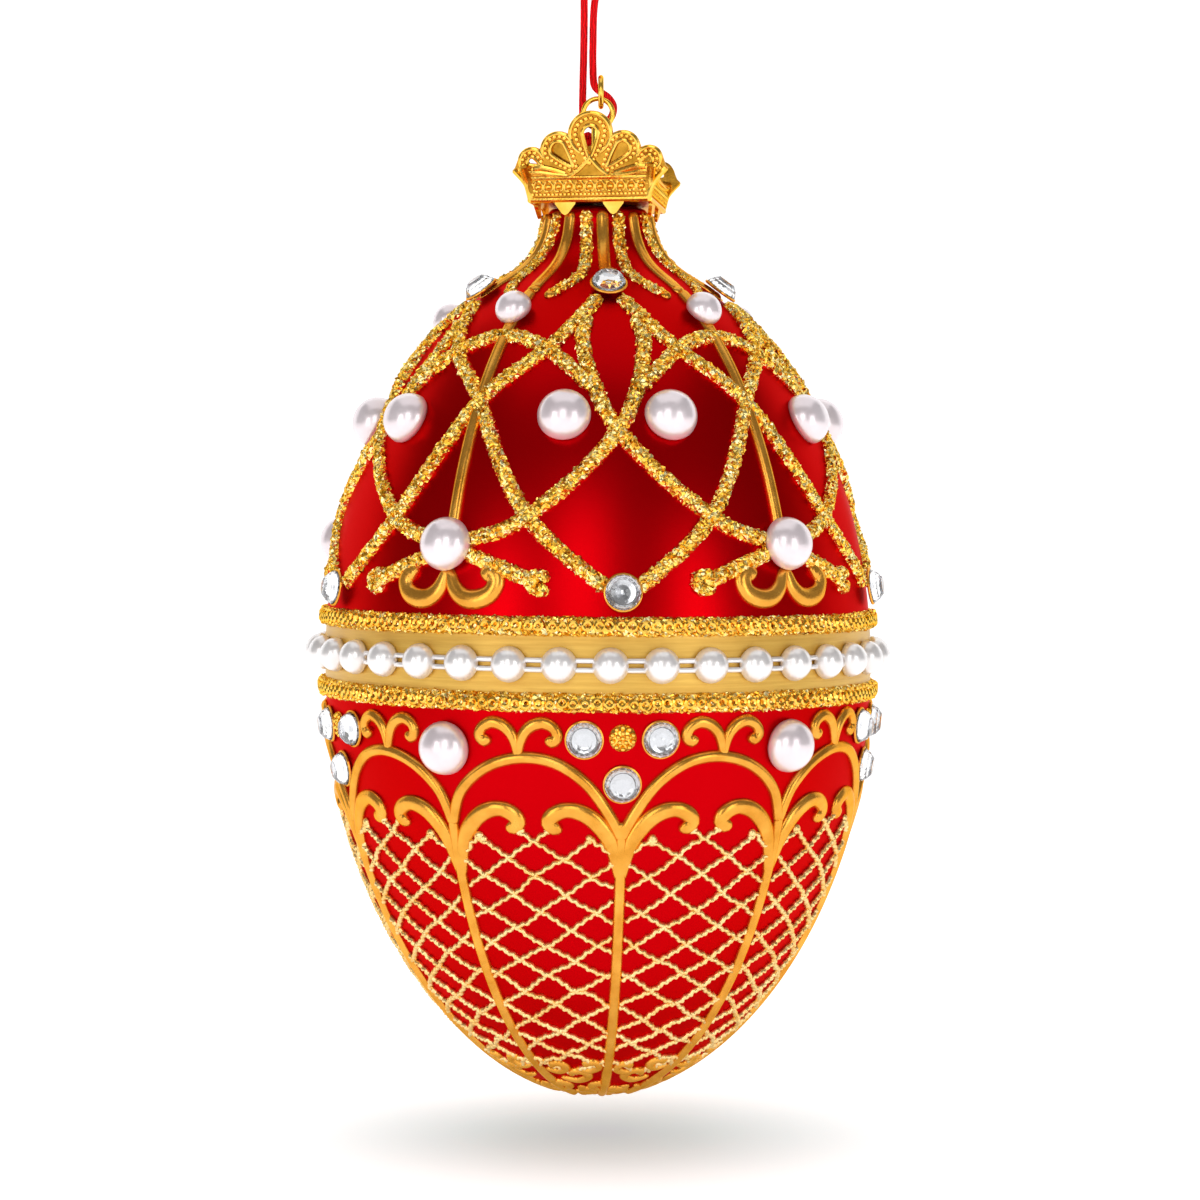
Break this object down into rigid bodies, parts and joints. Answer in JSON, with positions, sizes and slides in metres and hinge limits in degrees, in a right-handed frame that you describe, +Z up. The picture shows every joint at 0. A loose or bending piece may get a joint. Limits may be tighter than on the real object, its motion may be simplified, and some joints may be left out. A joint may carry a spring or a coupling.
{
  "type": "hanging jewelled egg ornament",
  "caption": "Hollow lacquered glass egg with raised gold tracery, half pearls, crystals, a pearl chain round its waist, a gold crown cap and a hanging cord.",
  "frame": {"origin": "top of the hanging cord's loop, where a hook or branch holds it", "axes": "+Z up along the hanging egg, -Y the front of the egg, +X to the right seen from the front"},
  "size_m": [0.0701, 0.0704, 0.1464],
  "materials": {
    "lacquered_glass": "satin metallic red lacquer over blown glass",
    "gold_glitter": "raised glue line dusted with gold glitter",
    "gold_paint": "raised satin gold paint",
    "pearl": "pinkish white pearl coat on acrylic",
    "crystal": "cut clear crystal on a foiled back",
    "crown_metal": "bright gold plated casting",
    "red_cord": "satin red cord"
  },
  "bodies": {
    "root": {"glass_egg": "lacquered_glass", "upper_gilding": "gold_glitter", "lower_gilding": "gold_paint", "waist_line_upper": "gold_glitter", "waist_line_lower": "gold_glitter", "pearl_chain": "pearl", "crown_cap": "crown_metal", "jump_ring": "crown_metal", "hang_cord": "red_cord", "cord_knot": "red_cord", "small_pearl_1": "pearl", "pair_pearl_left_1": "pearl", "pair_pearl_right_1": "pearl", "anchor_pearl_1": "pearl", "lower_pearl_1": "pearl", "top_stone_1": "crystal", "tip_stone_1": "crystal", "trio_stone_left_1": "crystal", "trio_stone_right_1": "crystal", "trio_stone_low_1": "crystal", "small_pearl_2": "pearl", "pair_pearl_left_2": "pearl", "pair_pearl_right_2": "pearl", "anchor_pearl_2": "pearl", "lower_pearl_2": "pearl", "top_stone_2": "crystal", "tip_stone_2": "crystal", "trio_stone_left_2": "crystal", "trio_stone_right_2": "crystal", "trio_stone_low_2": "crystal", "small_pearl_3": "pearl", "pair_pearl_left_3": "pearl", "pair_pearl_right_3": "pearl", "anchor_pearl_3": "pearl", "lower_pearl_3": "pearl", "top_stone_3": "crystal", "tip_stone_3": "crystal", "trio_stone_left_3": "crystal", "trio_stone_right_3": "crystal", "trio_stone_low_3": "crystal", "small_pearl_4": "pearl", "pair_pearl_left_4": "pearl", "pair_pearl_right_4": "pearl", "anchor_pearl_4": "pearl", "lower_pearl_4": "pearl", "top_stone_4": "crystal", "tip_stone_4": "crystal", "trio_stone_left_4": "crystal", "trio_stone_right_4": "crystal", "trio_stone_low_4": "crystal", "small_pearl_5": "pearl", "pair_pearl_left_5": "pearl", "pair_pearl_right_5": "pearl", "anchor_pearl_5": "pearl", "lower_pearl_5": "pearl", "top_stone_5": "crystal", "tip_stone_5": "crystal", "trio_stone_left_5": "crystal", "trio_stone_right_5": "crystal", "trio_stone_low_5": "crystal"}
  },
  "joints": []
}
